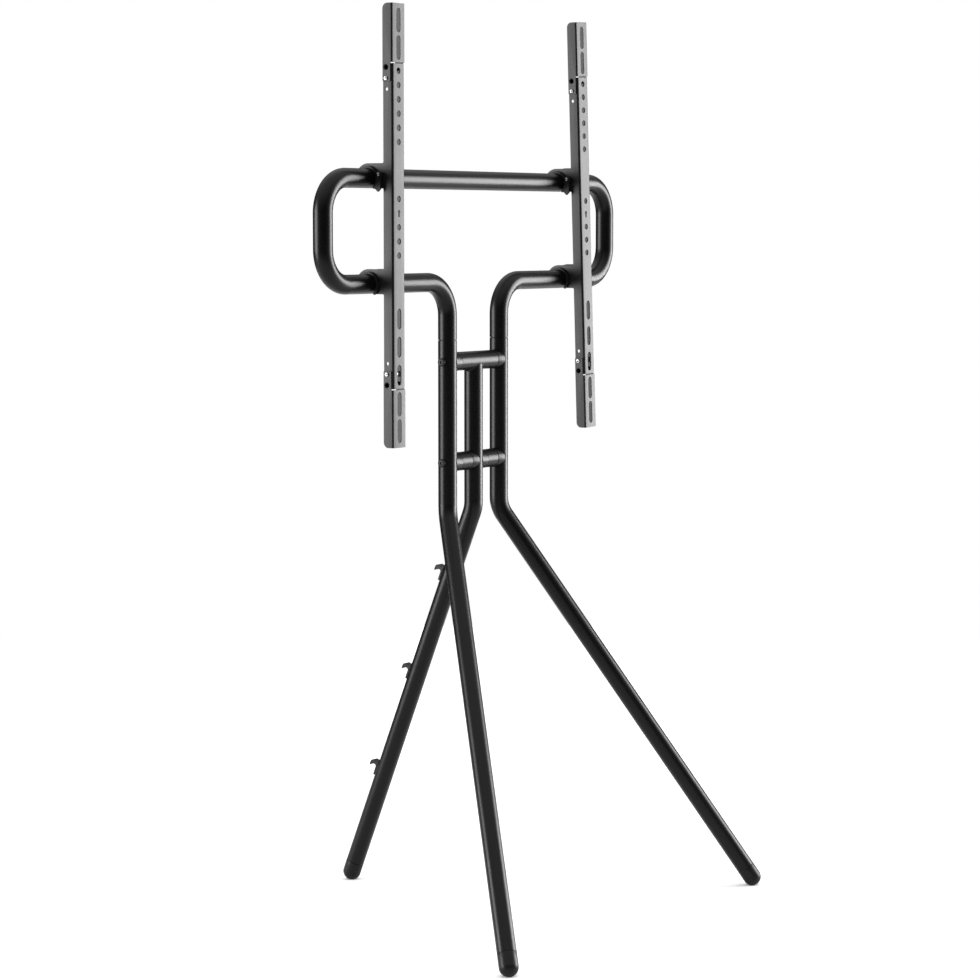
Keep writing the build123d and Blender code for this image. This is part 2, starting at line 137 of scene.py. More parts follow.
coatLook = {"grain": 0.9, "peel": 3.2, "patch": 60, "grainHeight": 0.055, "peelHeight": 0.12, "bump": 0.5,
            "roughness": 0.33, "uneven": 0.06, "sparkle": 0.10, "dark": (0.0018, 0.0018, 0.0019),
            "light": (0.0034, 0.0034, 0.0035), "ior": 1.24}
armLook = {**coatLook, "grain": 0.7, "peel": 2.4, "roughness": 0.40, "dark": (0.004, 0.004, 0.0041),
           "light": (0.008, 0.008, 0.0082), "ior": 1.27}
plasticLook = {**coatLook, "grain": 0.35, "peel": 6.0, "peelHeight": 0.02, "grainHeight": 0.04,
               "roughness": 0.48, "uneven": 0.10, "dark": (0.003, 0.003, 0.0031),
               "light": (0.007, 0.007, 0.0072)}
rubberLook = {**coatLook, "grain": 0.5, "peel": 4.0, "peelHeight": 0.05, "roughness": 0.38, "uneven": 0.12,
              "dark": (0.002, 0.002, 0.002), "light": (0.005, 0.005, 0.0049)}
zincLook = {**coatLook, "grain": 0.3, "peel": 1.6, "patch": 4.0, "grainHeight": 0.01, "peelHeight": 0.02,
            "roughness": 0.30, "uneven": 0.22, "dark": (0.16, 0.16, 0.165), "light": (0.30, 0.30, 0.31),
            "metallic": 1.0}
boltLook = {**coatLook, "grain": 0.3, "peel": 1.6, "patch": 4.0, "grainHeight": 0.01, "peelHeight": 0.02,
            "roughness": 0.40, "uneven": 0.16, "dark": (0.002, 0.002, 0.002), "light": (0.005, 0.005, 0.005),
            "ior": 1.2}

finishes = {
    "black_powder_coat": coating("black_powder_coat", coatLook),
    "arm_coat": coating("arm_coat", armLook),
    "black_plastic": coating("black_plastic", plasticLook),
    "black_rubber": coating("black_rubber", rubberLook),
    "plated_steel": coating("plated_steel", zincLook),
    "dark_bolt": coating("dark_bolt", boltLook),
}
print("finishes made:", len(finishes))


crispEdge = 32        # degrees; an edge that turns more than this stays crisp


def makePiece(name, shapes, body, slot, nodes=(), place=None):
    # shapes are (points, faces) pairs, in millimetres unless place says otherwise
    mesh = bmesh.new()
    for points, faces in shapes:
        corners = [mesh.verts.new(point) for point in points]
        for face in faces:
            mesh.faces.new([corners[n] for n in face])
    bmesh.ops.recalc_face_normals(mesh, faces=mesh.faces)
    mesh.transform(place or toMetres)
    data = bpy.data.meshes.new(name)
    mesh.to_mesh(data)
    mesh.free()
    data.shade_smooth()
    data.set_sharp_from_angle(angle=radians(crispEdge))
    data.materials.append(finishes[slot])
    piece = bpy.data.objects.new(name, data)
    bpy.context.scene.collection.objects.link(piece)
    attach(piece, body)
    if nodes:
        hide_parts(*nodes)
    return piece


def loft(rings, loop=False):
    # skins rings of equally many points; an open loft is closed by a fan at each end
    count = len(rings[0])
    points = [point for ring in rings for point in ring]
    faces = []
    for n in range(len(rings) if loop else len(rings) - 1):
        here, there = n * count, (n + 1) % len(rings) * count
        for k in range(count):
            step = (k + 1) % count
            faces.append((here + k, here + step, there + step, there + k))
    if not loop:
        for n in (0, len(rings) - 1):
            middle = len(points)
            points.append(sum(rings[n], Vector()) / count)
            faces += [(n * count + k, n * count + (k + 1) % count, middle) for k in range(count)]
    return points, faces


sides = 72        # round a tube or a screw


def ring(centre, right, up, radius):
    # radius is a number, or a function of the angle
    turned = []
    for k in range(sides):
        angle = 2 * pi * k / sides
        reach = radius(angle) if callable(radius) else radius
        turned.append(centre + (right * cos(angle) + up * sin(angle)) * reach)
    return turned


def turnedShape(profile, origin, axis):
    # profile is (radius, distance along the axis); it starts and ends on the axis
    axis = axis.normalized()
    right = axis.orthogonal().normalized()
    up = axis.cross(right)
    return loft([ring(origin + axis * along, right, up, radius) for radius, along in profile])


def roundOver(radius, along, size, turn, steps=4):
    # a quarter-round edge that ends a shaft of this radius; turn is 1 going outwards and -1 coming back
    sweep = [pi / 2 * n / steps for n in range(steps + 1)]
    edge = [(radius - size + size * sin(a), along + size - size * cos(a)) for a in sweep]
    return edge if turn > 0 else [(r, 2 * along - z) for r, z in reversed(edge)]


def bentPath(corners, bend):
    # points and directions along straight runs joined by arcs
    stations = [(corners[0], (corners[1] - corners[0]).normalized())]
    for before, corner, after in zip(corners, corners[1:], corners[2:]):
        inward = (corner - before).normalized()
        outward = (after - corner).normalized()
        turn = inward.angle(outward)
        axis = inward.cross(outward).normalized()
        start = corner - inward * bend * tan(turn / 2)
        centre = start + axis.cross(inward) * bend
        steps = ceil(turn / radians(3))
        for n in range(steps + 1):
            spin = Matrix.Rotation(turn * n / steps, 3, axis)
            stations.append((centre + spin @ (start - centre), spin @ inward))
    stations.append((corners[-1], (corners[-1] - corners[-2]).normalized()))
    return stations


def tubeShape(corners, side, tube, trim=None):
    # side is the normal of the plane that the tube bends in; trim moves the points of an end
    stations = bentPath(corners, tube["bend"])
    soft = tube["endEdge"]
    first, last = stations[0], stations[-1]
    lead, tail = first[1] * soft, last[1] * soft
    middle = [(first[0] + lead, first[1])] + stations[1:-1] + [(last[0] - tail, last[1])]

    def around(station, radius):
        point, direction = station
        made = ring(point, side, side.cross(direction), radius)
        return [trim(p) for p in made] if trim else made

    outer, bore = tube["radius"], tube["radius"] - tube["wall"]
    rings = [around(first, outer - soft)]
    rings += [around(station, outer) for station in middle]
    rings += [around(last, outer - soft), around(last, bore + soft)]
    rings += [around(station, bore) for station in reversed(middle)]
    rings += [around(first, bore + soft)]
    return loft(rings, loop=True)


def arc(centre, radius, start, end, steps=24):
    # angles in degrees, ends included
    turns = [radians(start + (end - start) * n / steps) for n in range(steps + 1)]
    return [(centre[0] + radius * cos(a), centre[1] + radius * sin(a)) for a in turns]


def slotLoop(middle, length, width):
    reach = (length - width) / 2
    upper = arc((0, middle + reach), width / 2, 0, 180, 20)
    return upper + arc((0, middle - reach), width / 2, 180, 360, 20)


def loopArea(loop):
    return sum(a[0] * b[1] - b[0] * a[1] for a, b in zip(loop, loop[1:] + loop[:1])) / 2


def insetLoop(loop, distance):
    # moves a loop to its left, into the sheet
    moved = []
    for before, here, after in zip(loop[-1:] + loop[:-1], loop, loop[1:] + loop[:1]):
        arriving = (Vector(here) - Vector(before)).normalized()
        leaving = (Vector(after) - Vector(here)).normalized()
        normals = Vector((-arriving.y, arriving.x)), Vector((-leaving.y, leaving.x))
        mitre = (normals[0] + normals[1]) / max(0.5, 1 + normals[0].dot(normals[1]))
        moved.append(tuple(Vector(here) + mitre * distance))
    return moved


def holds(loop, point):
    inside = False
    for a, b in zip(loop, loop[1:] + loop[:1]):
        if (a[1] > point[1]) != (b[1] > point[1]):
            inside ^= point[0] < a[0] + (b[0] - a[0]) * (point[1] - a[1]) / (b[1] - a[1])
    return inside


def sheetShape(outer, holes, thickness, chamfer, folded, foldLines=()):
    # a pressed sheet with its edges broken: drawn flat as (u, v), then laid out by folded(u, v, depth)
    loops = [outer if loopArea(outer) > 0 else outer[::-1]]
    loops += [hole if loopArea(hole) < 0 else hole[::-1] for hole in holes]
    points, faces, rims, rimFace = [], [], [], []
    for loop in loops:
        inner = insetLoop(loop, chamfer)
        start, count = len(points), len(loop)
        for face, depth in ((inner, 0), (loop, chamfer), (loop, thickness - chamfer), (inner, thickness)):
            points += [(u, v, depth) for u, v in face]
        for level in range(3):
            a = start + level * count
            for k in range(count):
                step = (k + 1) % count
                faces.append((a + k, a + step, a + count + step, a + count + k))
        rims += [Vector(p) for p in inner]
        rimFace += [(start + k, start + 3 * count + k) for k in range(count)]
    edges, first = [], 0
    for loop in loops:
        edges += [(first + k, first + (k + 1) % len(loop)) for k in range(len(loop))]
        first += len(loop)
    for u in foldLines:
        ends = sorted((rims[n].y, n) for n in range(len(outer)) if abs(rims[n].x - u) < 1e-4)
        edges.append((ends[0][1], ends[-1][1]))
    corners, _, triangles, known, _, _ = delaunay_2d_cdt(rims, edges, [], 1, 1e-6)
    for triangle in triangles:
        middle = sum((corners[n] for n in triangle), Vector((0, 0))) / 3
        if any(holds(hole, middle) for hole in loops[1:]):
            continue
        for layer in (0, 1):
            faces.append(tuple(rimFace[known[n][0]][layer] for n in triangle))
    return [Vector(folded(*point)) for point in points], faces


def foldedChannel(half, front, radius, flat=0.0):
    # web towards -Y, flanges to either side; u is measured round the outside of the folds
    bend = radius * pi / 2
    start = half - radius

    def folded(u, v, depth):
        sign, across = (1 if u > 0 else -1), abs(u)
        if across <= start:
            return u, front + depth, v
        if across < start + bend:
            angle = (across - start) / radius
            reach = radius - depth
            return sign * (start + reach * sin(angle)), front + radius - reach * cos(angle), v
        return sign * (half - depth), front + radius + across - start - bend, v

    lines = [sign * (start + bend * n / 8) for sign in (-1, 1) for n in range(9)]
    return folded, lines, start + bend - front - radius        # last: u less y on a flange


def centreOf(node):
    low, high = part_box(node)
    return (low + high) / 2


crossLow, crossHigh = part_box("upper_cross_tube")
headLow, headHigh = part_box("head_frame")
tube = {"radius": (crossHigh.z - crossLow.z) / 2 / mm, "wall": 1.5, "bend": 50.0, "endEdge": 0.35}
knees = {"front": 600.0, "rear": 604.0}
seams = {"tube": 0.8, "foot": 0.3}

tubeR = tube["radius"]
postY = centreOf("upper_cross_tube").y / mm
upperZ = centreOf("upper_cross_tube").z / mm
lowerZ = centreOf("left_lower_cross_tube").z / mm
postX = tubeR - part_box("left_front_leg")[1].x / mm
loopX = headHigh.x / mm - tubeR
topZ = headHigh.z / mm - tubeR
seamZ = headLow.z / mm
hookStep = (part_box("left_upper_hook_liner")[1].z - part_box("left_lower_hook_liner")[1].z) / mm
bottomZ = topZ - hookStep

headCorners = [(-postX, seamZ), (-postX, bottomZ), (-loopX, bottomZ), (-loopX, topZ)]
headCorners += [(-x, z) for x, z in reversed(headCorners)]
headCorners = [Vector((x, postY, z)) for x, z in headCorners]
makePiece("head_tube", [tubeShape(headCorners, Vector((0, 1, 0)), tube)], "frame", "black_powder_coat",
          ["head_frame"])

foot = {"sleeve": 19.0, "flat": 5.0, "stem": 25.0, "stemGap": 0.1, "lip": 0.6}
footZ = sqrt(tubeR ** 2 - foot["flat"] ** 2)
feet = {}
for name in ("left_front", "right_front", "rear"):
    low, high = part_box(name + "_foot")
    x = {"left_front": low.x / mm + tubeR, "right_front": high.x / mm - tubeR, "rear": 0.0}[name]
    y = high.y / mm - tubeR if name == "rear" else low.y / mm + tubeR
    feet[name] = Vector((x, y, footZ))
kneePoints = {
    "left_front": Vector((-postX, postY, knees["front"])),
    "right_front": Vector((postX, postY, knees["front"])),
    "rear": Vector((0, postY, knees["rear"])),
}


def cope(point):
    # the rear leg's top is cut to sit under the upper cross tube
    if point.z < upperZ - 2 * tubeR:
        return point
    under = upperZ - sqrt(max(0.0, (tubeR + 0.05) ** 2 - (point.y - postY) ** 2))
    return Vector((point.x, point.y, min(under, point.z)))


def makeLeg(name):
    ground, knee = feet[name], kneePoints[name]
    up = (knee - ground).normalized()
    end = ground + up * (foot["sleeve"] + seams["foot"])
    rear = name == "rear"
    top = Vector((knee.x, postY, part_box("rear_leg")[1].z / mm if rear else seamZ - seams["tube"]))
    side = (top - knee).cross(end - knee).normalized()
    node = "rear_leg" if rear else name + "_leg"
    makePiece(name + "_leg_tube", [tubeShape([top, knee, end], side, tube, cope if rear else None)], "frame",
              "black_powder_coat", [node])


def makeFoot(name):
    # a rubber boot: round sole with a flat, sleeve flush with the tube, stem up the bore
    up = (kneePoints[name] - feet[name]).normalized()
    sole = [(tubeR * sin(radians(a)), -tubeR * cos(radians(a))) for a in range(3, 93, 3)]
    stem = tubeR - tube["wall"] - foot["stemGap"]
    top = foot["sleeve"]
    profile = sole + [(tubeR, top * 0.5)]
    profile += roundOver(tubeR, top, foot["lip"], -1) + [(stem, top), (stem, top + foot["stem"] - 1)]
    profile += [(stem - 1, top + foot["stem"])]
    points, faces = turnedShape(profile, feet[name], up)
    points = [Vector((p.x, p.y, max(p.z, 0.0))) for p in points]
    makePiece(name + "_boot", [(points, faces)], "frame", "black_rubber", [name + "_foot"])


for name in feet:
    makeLeg(name)
    makeFoot(name)
print("tubes and feet made")

collar = {"length": 6.0, "proud": 0.4, "wrap": 10.0, "bore": 3.2, "edge": 0.7, "gap": 0.05}
cup = {"radius": 6.25, "proud": 2.3, "floor": 0.4, "edge": 0.6, "clear": 0.2}
bolt = {"head": 5.0, "height": 2.0, "edge": 0.5, "hex": 4.0, "hexDepth": 1.4, "shank": 3.0, "reach": 20.0}
weld = {"radius": 2.6, "ripple": 0.22, "ripples": 26, "wrap": 66.0, "steps": 120, "sides": 16, "flat": 0.55,
        "lift": 0.15, "least": 0.02}
xAxis = Vector((1, 0, 0))


def hexRadius(angle):
    return bolt["hex"] / 2 / cos((angle + pi / 6) % (pi / 3) - pi / 6)


def saddle(radius, post, least, gap):
    # a ring that lies on an upright tube of radius post, facing +X
    made = []
    for k in range(sides):
        angle = 2 * pi * k / sides
        y, z = radius * cos(angle), radius * sin(angle)
        x = max(least, sqrt(max(0.0, (post + gap) ** 2 - y ** 2)))
        made.append(Vector((x, y, z)))
    return made


def xRing(x, radius):
    return ring(Vector((x, 0, 0)), Vector((0, 1, 0)), Vector((0, 0, 1)), radius)


def facing(x, z, toward):
    # moves a part made facing +X to an upright tube
    return toMetres @ Matrix.Translation((x, postY, z)) @ Matrix.Rotation(0 if toward > 0 else pi, 4, "Z")


def collarShape():
    outer, end, edge = tubeR + collar["proud"], tubeR + collar["length"], collar["edge"]
    least = tubeR - collar["wrap"]
    rings = [saddle(outer - 0.2, tubeR, least, collar["gap"])]
    rings += [saddle(outer, tubeR, least, collar["gap"] + 0.2)]
    rings += [xRing(x, r) for r, x in roundOver(outer, end, edge, -1)]
    rings += [xRing(end, collar["bore"])]
    rings += [saddle(collar["bore"], tubeR, 0, collar["gap"])]
    return loft(rings, loop=True)


def cupShape():
    outer, inner, end = cup["radius"], bolt["head"] + cup["clear"], tubeR + cup["proud"]
    floor, edge = tubeR + cup["floor"], cup["edge"]
    rings = [saddle(outer, tubeR, 0, collar["gap"])]
    rings += [xRing(x, r) for r, x in roundOver(outer, end, edge, -1)]
    rings += [xRing(end, inner + 0.2), xRing(end - 0.2, inner), xRing(floor, inner)]
    rings += [xRing(floor, collar["bore"])]
    rings += [saddle(collar["bore"], tubeR, 0, collar["gap"])]
    return loft(rings, loop=True)


def boltShape(length):
    seat = tubeR + cup["floor"]
    face = seat + bolt["height"]
    rings = [xRing(seat - length, bolt["shank"] - 0.4), xRing(seat - length + 0.4, bolt["shank"])]
    rings += [xRing(seat, bolt["shank"]), xRing(seat, bolt["head"])]
    rings += [xRing(x, r) for r, x in roundOver(bolt["head"], face, bolt["edge"], -1)]
    rings += [xRing(face, lambda a: hexRadius(a) * 1.08), xRing(face - 0.2, hexRadius)]
    rings += [xRing(face - bolt["hexDepth"], hexRadius)]
    return loft(rings)


def weldShape(side):
    # a bead along the joint of the rear leg and the upper cross tube, thinner towards its ends
    rings = []
    for n in range(weld["steps"] + 1):
        share = n / weld["steps"]
        angle = radians(weld["wrap"]) * (2 * share - 1)
        y, reach = tubeR * sin(angle), tubeR * cos(angle)
        fade = sqrt(max(0.0, 1 - (2 * share - 1) ** 2))
        ripple = weld["ripple"] * fade * sin(2 * pi * weld["ripples"] * share)
        size = max(weld["radius"] * fade * cos(angle) ** 0.5 + ripple, weld["least"])
        lift = weld["lift"] * size
        middle = Vector((side * (reach + lift), postY + y, upperZ - reach - lift))
        outward = Vector((side * 1.0, 0, -1.0)).normalized()
        along = Vector((-sin(angle) * side, cos(angle), sin(angle))).normalized()
        across = outward.cross(along).normalized()
        turns = [2 * pi * k / weld["sides"] for k in range(weld["sides"])]
        rings.append([middle + (outward * cos(a) * weld["flat"] + across * sin(a)) * size for a in turns])
    return loft(rings)


straight = {**tube, "endEdge": 0.5}
for node in ("upper_cross_tube", "left_lower_cross_tube", "right_lower_cross_tube"):
    low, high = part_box(node)
    ends = [Vector((x / mm, postY, centreOf(node).z / mm)) for x in (low.x, high.x)]
    makePiece(node + "_sleeve", [tubeShape(ends, Vector((0, 1, 0)), straight)], "frame", "black_powder_coat",
              [node])
collars = {
    "upper_left_collar": (-postX, upperZ, 1),
    "upper_right_collar": (postX, upperZ, -1),
    "lower_left_outer_collar": (-postX, lowerZ, 1),
    "lower_left_inner_collar": (0, lowerZ, -1),
    "lower_right_inner_collar": (0, lowerZ, 1),
    "lower_right_outer_collar": (postX, lowerZ, -1),
}
for node, (x, z, toward) in collars.items():
    makePiece(node + "_ring", [collarShape()], "frame", "black_powder_coat", [node], facing(x, z, toward))
posts = [(side, z) for side in (-1, 1) for z in (upperZ, lowerZ)]
boltLength = 2 * tubeR + cup["floor"] + collar["length"] + bolt["reach"]
for n, (side, z) in enumerate(posts):
    place = facing(side * postX, z, side)
    makePiece(f"cup_washer_{n}", [cupShape()], "frame", "black_plastic", ["cup_washers"], place)
    makePiece(f"post_bolt_{n}", [boltShape(boltLength)], "frame", "dark_bolt", ["post_bolts"], place)
for side, name in ((-1, "left"), (1, "right")):
    makePiece(f"rear_leg_weld_{name}", [weldShape(side)], "frame", "black_powder_coat")
print("cross tubes, collars and bolts made")

clip = {"width": 12.0, "pad": 2.5, "above": 6.0, "below": 18.0, "reach": 12.0, "band": 1.7, "drop": 6.7,
        "root": 5.8, "edge": 0.45}


def clipShape():
    # drawn from the side: u away from the leg, v up the leg
    seat = tubeR - 1.3
    face = tubeR + clip["pad"]
    tip = face + clip["reach"]
    top = clip["root"] - 2
    outline = [(seat, -clip["below"] + 1), (seat + 1, -clip["below"])]
    outline += arc((face - 1, 1 - clip["below"]), 1, -90, 0, 5)
    outline += [(face, -6.5)] + arc((face + 3, -5), 3, 180, 90, 6)[1:]
    outline += arc((tip - clip["band"] - 3, -5), 3, 90, 0, 8)
    outline += arc((tip - clip["band"] / 2, -clip["drop"] + 0.8), clip["band"] / 2, 180, 360, 8)
    outline += arc((tip - 5.5, -1.6), 5.5, 0, 90, 12)
    outline += [(face + 2, top)] + arc((face + 1.2, top + 0.8), 0.8, -90, -180, 4)
    outline += [(face, clip["above"] - 1)] + arc((face - 1, clip["above"] - 1), 1, 0, 90, 5)
    outline += [(seat + 0.5, clip["above"])]
    return sheetShape(outline, [], clip["width"], clip["edge"], lambda u, v, w: (w - clip["width"] / 2, u, v))


rearUp = (kneePoints["rear"] - feet["rear"]).normalized()
rearOut = Vector((0, 1, 0))
rearOut = (rearOut - rearUp * rearOut.dot(rearUp)).normalized()
for name in ("lower", "middle", "upper"):
    node = name + "_cable_clip"
    reach = (centreOf(node) / mm - feet["rear"]).dot(rearUp)
    height = reach + (clip["below"] - clip["above"]) / 2
    spot = feet["rear"] + rearUp * height
    turned = Matrix((xAxis, rearOut, rearUp)).transposed().to_4x4()
    makePiece(name + "_hook_clip", [clipShape()], "frame", "black_plastic", [node],
              toMetres @ Matrix.Translation(spot) @ turned)
print("cable clips made")

arm = {"half": 14.0, "front": -43.5, "back": -26.5, "sheet": 2.0, "fold": 3.0, "top": 162.0, "bottom": -298.0,
       "edge": 0.3, "pitch": 20.0, "firstHole": 151.6, "hole": 4.5, "slot": 29.0,
       "holes": (0, 1, 2, 3, 4, 5, 9, 11, 12, 13), "slots": (17.5, 19.5, 21.5), "arrow": 10,
       "sideFirst": 5.5, "sidePitch": 15.3, "sideHole": 2.6, "sideBack": 6.2}
arrow = {"height": 10.0, "width": 7.4, "stem": 2.8}
ear = {"outer": 22.25, "rear": 1.4, "inner": 17.35, "lip": 4.0, "heel": 11.0, "heelDrop": 13.3, "blend": 2.0,
       "tip": 2.2, "heelRise": 0.6, "heelRun": 1.5}
extension = {"sheet": 1.2, "gap": 0.1, "length": 84.2, "slots": (22.0, 60.4), "slot": 34.0, "corner": 8.0,
             "joint": 1.4, "tongue": 25.8, "tongueFront": -40.5, "access": 4.3, "edge": 0.25}
sideY = arm["back"] - arm["sideBack"]


def hookOutline(z):
    # from above a hook to below it, as (y, z) on the flange
    back, blend = arm["back"], ear["blend"]
    tip, lipZ = ear["tip"], ear["tip"] - ear["lip"]
    outerY = ear["rear"] + sqrt(ear["outer"] ** 2 - lipZ ** 2)
    innerY = sqrt(ear["inner"] ** 2 - lipZ ** 2)
    turn = asin(lipZ / ear["outer"]) * 180 / pi, asin(lipZ / ear["inner"]) * 180 / pi
    heelEnd = min(acos(ear["heel"] / ear["inner"]), asin((ear["heelDrop"] - ear["heelRise"]) / ear["inner"]))
    heelTurn = 180 + heelEnd * 180 / pi
    line = arc((back + blend, ear["outer"] + blend), blend, 180, 270, 6)
    line += arc((ear["rear"], 0), ear["outer"], 90, turn[0], 30)
    line += arc((outerY - tip, lipZ), tip, 0, -90, 6)[1:]
    line += arc((innerY + tip, lipZ), tip, -90, -180, 6)
    line += arc((0, 0), ear["inner"], turn[1], heelTurn, 60)[1:]
    line += [(-ear["heel"] - ear["heelRun"], -ear["heelDrop"])]
    line += arc((back + blend, -ear["heelDrop"] - blend), blend, 90, 180, 6)
    return [(y, z + height) for y, height in line]


def arrowLoop(middle):
    neck = arrow["height"] / 2 - arrow["width"] / 2
    half, stem, tip = arrow["width"] / 2, arrow["stem"] / 2, arrow["height"] / 2
    loop = [(-stem, -tip), (stem, -tip), (stem, neck), (half, neck), (0, tip), (-half, neck), (-stem, neck)]
    return [(u, middle + v) for u, v in loop]


def channelShape():
    folded, lines, shift = foldedChannel(arm["half"], arm["front"], arm["fold"])
    flange = [(arm["back"], arm["top"])] + hookOutline(0) + hookOutline(-hookStep)
    flange += [(arm["back"], arm["bottom"])]
    flange = [(y + shift, z) for y, z in flange]
    across = sorted(lines)
    outline = [(u, arm["top"]) for u in across] + flange
    outline += [(u, arm["bottom"]) for u in reversed(across)]
    outline += [(-u, z) for u, z in reversed(flange)]
    holes = []
    for n in arm["holes"]:
        holes.append(arc((0, arm["firstHole"] - n * arm["pitch"]), arm["hole"], 0, 350, 35))
    for n in arm["slots"]:
        holes.append(slotLoop(arm["firstHole"] - n * arm["pitch"], arm["slot"], 2 * arm["hole"]))
    holes.append(arrowLoop(arm["firstHole"] - arm["arrow"] * arm["pitch"]))
    for end, inward in ((arm["top"], -1), (arm["bottom"], 1)):
        for n in range(3):
            z = end + inward * (arm["sideFirst"] + n * arm["sidePitch"])
            radius = arm["sideHole"] if n else extension["access"]
            for side in (-1, 1):
                holes.append(arc((side * (sideY + shift), z), radius, 0, 345, 23))
    return sheetShape(outline, holes, arm["sheet"], arm["edge"], folded, across)


def extensionShape(outward):
    # z counts outwards from the channel's end; outward is 1 at the top and -1 at the bottom
    half = arm["half"] + extension["gap"] + extension["sheet"]
    radius = 2 * extension["sheet"]
    folded, lines, shift = foldedChannel(half, arm["front"], radius)
    across = sorted(lines)
    front, back = extension["tongueFront"] + shift, arm["back"] + shift
    corner, tongue = extension["corner"], extension["tongue"]
    rest = extension["joint"]
    side = arc((back - corner, extension["length"] - corner), corner, 90, 0, 14)
    side += arc((back - 2, 2 - tongue), 2, 0, -90, 6)
    side += arc((front + 2, 2 - tongue), 2, -90, -180, 6)
    side += [(front, rest)]
    outline = [(u, extension["length"]) for u in across] + side
    outline += [(u, rest) for u in reversed(across)]
    outline += [(-u, z) for u, z in reversed(side)]
    holes = [slotLoop(middle, extension["slot"], 2 * arm["hole"]) for middle in extension["slots"]]
    for z, radius in ((-arm["sideFirst"], extension["access"]),
                      (-arm["sideFirst"] - arm["sidePitch"], arm["sideHole"])):
        for sign in (-1, 1):
            holes.append(arc((sign * (sideY + shift), z), radius, 0, 345, 23))
    end = arm["top"] if outward > 0 else arm["bottom"]

    def laid(u, v, depth):
        x, y, z = folded(u, v, depth)
        return x, y, end + outward * z

    return sheetShape(outline, holes, extension["sheet"], extension["edge"], laid, across)


liner = {"inner": 15.3, "outer": 17.3, "lip": 18.6, "half": 18.5, "earGap": 0.05, "rearDrop": 3.5,
         "heel": 11.2, "edge": 0.35}
block = {"radius": 21.65, "lip": 4.0, "heel": 11.0, "half": 11.85, "edge": 0.6}
catch = {"y": -23.3, "z": 6.2, "eye": 3.6, "near": -18.7, "thickness": 3.0, "low": -18.2, "back": 1.2,
         "half": 4.8, "point": 4.0, "flat": 0.6, "hole": 1.55, "edge": 0.35}
catchScrew = {"radius": 2.5, "height": 1.8, "slot": 0.8, "shank": 1.5, "gap": 0.05}
pan = {"radius": 3.4, "height": 1.6, "cross": 3.4, "crossWidth": 1.3, "shank": 2.4, "length": 7.3,
       "deep": 1.9, "floor": 0.35, "wall": 0.7, "crown": 0.55}
bush = {"radius": 4.15, "low": 0.5, "bore": 3.5, "depth": 6.0, "floor": 1.2, "edge": 0.3}


def linerShape():
    # a flanged half bush, swept round the bar from behind it to under its front
    inner, outer, lip, soft = liner["inner"], liner["outer"], liner["lip"], liner["edge"]
    near, far = arm["half"] + liner["earGap"], liner["half"]
    half = [(inner + soft, far), (lip - soft, far), (lip, far - soft), (lip, near + soft / 2)]
    half += [(lip - soft / 2, near), (outer, near)]
    section = half + [(r, -x) for r, x in reversed(half)] + [(inner, soft - far), (inner, far - soft)]
    start = -asin(liner["rearDrop"] / outer)
    end = pi + acos(liner["heel"] / outer)
    steps = 84
    rings = []
    for n in range(steps + 1):
        angle = start + (end - start) * n / steps
        rings.append([Vector((x, r * cos(angle), r * sin(angle))) for r, x in section])
    points, faces = loft(rings)
    caps = len(section)
    faces = faces[:steps * caps] + [tuple(range(caps)), tuple(range(steps * caps, (steps + 1) * caps))]
    return points[:(steps + 1) * caps], faces


def blockShape():
    # fills the hook between its two ears
    r, low = block["radius"], -block["lip"]
    heelTurn = 180 + acos(block["heel"] / liner["inner"]) * 180 / pi
    outline = [(arm["back"], r)] + arc((ear["rear"], 0), r, 90, asin(low / r) * 180 / pi, 30)
    outline += arc((0, 0), liner["inner"], asin(low / liner["inner"]) * 180 / pi, heelTurn, 60)
    outline += [(-block["heel"], -ear["heelDrop"]), (arm["back"], -ear["heelDrop"])]
    half = block["half"]
    return sheetShape(outline, [], 2 * half, block["edge"], lambda u, v, w: (w - half, u, v))


def eyeBoss():
    # a tab on the liner's lip that carries the catch
    y, z, eye = catch["y"], catch["z"], catch["eye"]
    inside = liner["outer"] + 0.2
    outline = arc((y, z), eye, 90, 270, 24)
    outline += [(-sqrt(inside ** 2 - level ** 2), level) for level in (z - eye, z + eye)]
    depth = liner["half"] - arm["half"] - liner["earGap"]
    return sheetShape(outline, [], depth, 0.3, lambda u, v, w: (w - liner["half"], u, v))


def catchShape():
    # eye at the top, a claw that points down in front of the bar
    y, z, eye = catch["y"], catch["z"], catch["eye"]
    low, middle, half, flat = catch["low"], y + catch["back"], catch["half"], catch["flat"]
    outline = arc((y, z), eye, 0, 180, 24)
    outline += [(middle - half, low + catch["point"]), (middle - flat, low), (middle + flat, low)]
    outline += [(middle + half, low + catch["point"])]
    hole = arc((y, z), catch["hole"], 0, 345, 23)
    far = catch["near"] - catch["thickness"]
    return sheetShape(outline, [hole], catch["thickness"], catch["edge"], lambda u, v, w: (far + w, u, v))


def slotRadius(angle):
    return min(catchScrew["radius"] * 0.96 / max(1e-6, abs(cos(angle))),
               catchScrew["slot"] / 2 / max(1e-6, abs(sin(angle))), catchScrew["radius"] * 0.96)


def catchScrewShape():
    start = catch["near"] - catch["thickness"] - catchScrew["gap"]
    face, radius = start - catchScrew["height"], catchScrew["radius"]
    dome = [(radius * sin(radians(a)), face + 0.9 - 0.9 * cos(radians(a))) for a in (60, 70, 80, 90)]
    rings = [xRing(face + 0.7, slotRadius), xRing(face + 0.05, slotRadius)]
    rings += [xRing(x, r) for r, x in dome]
    rings += [xRing(start, radius), xRing(start, catchScrew["shank"])]
    rings += [xRing(-arm["half"] - 0.1, catchScrew["shank"])]
    offset = Vector((0, catch["y"], catch["z"]))
    points, faces = loft(rings)
    return [p + offset for p in points], faces


def crossRadius(angle):
    # a plus-shaped recess
    near = (angle + pi / 4) % (pi / 2) - pi / 4
    return min(pan["cross"] / 2 / cos(near), pan["crossWidth"] / 2 / max(1e-6, abs(sin(near))))


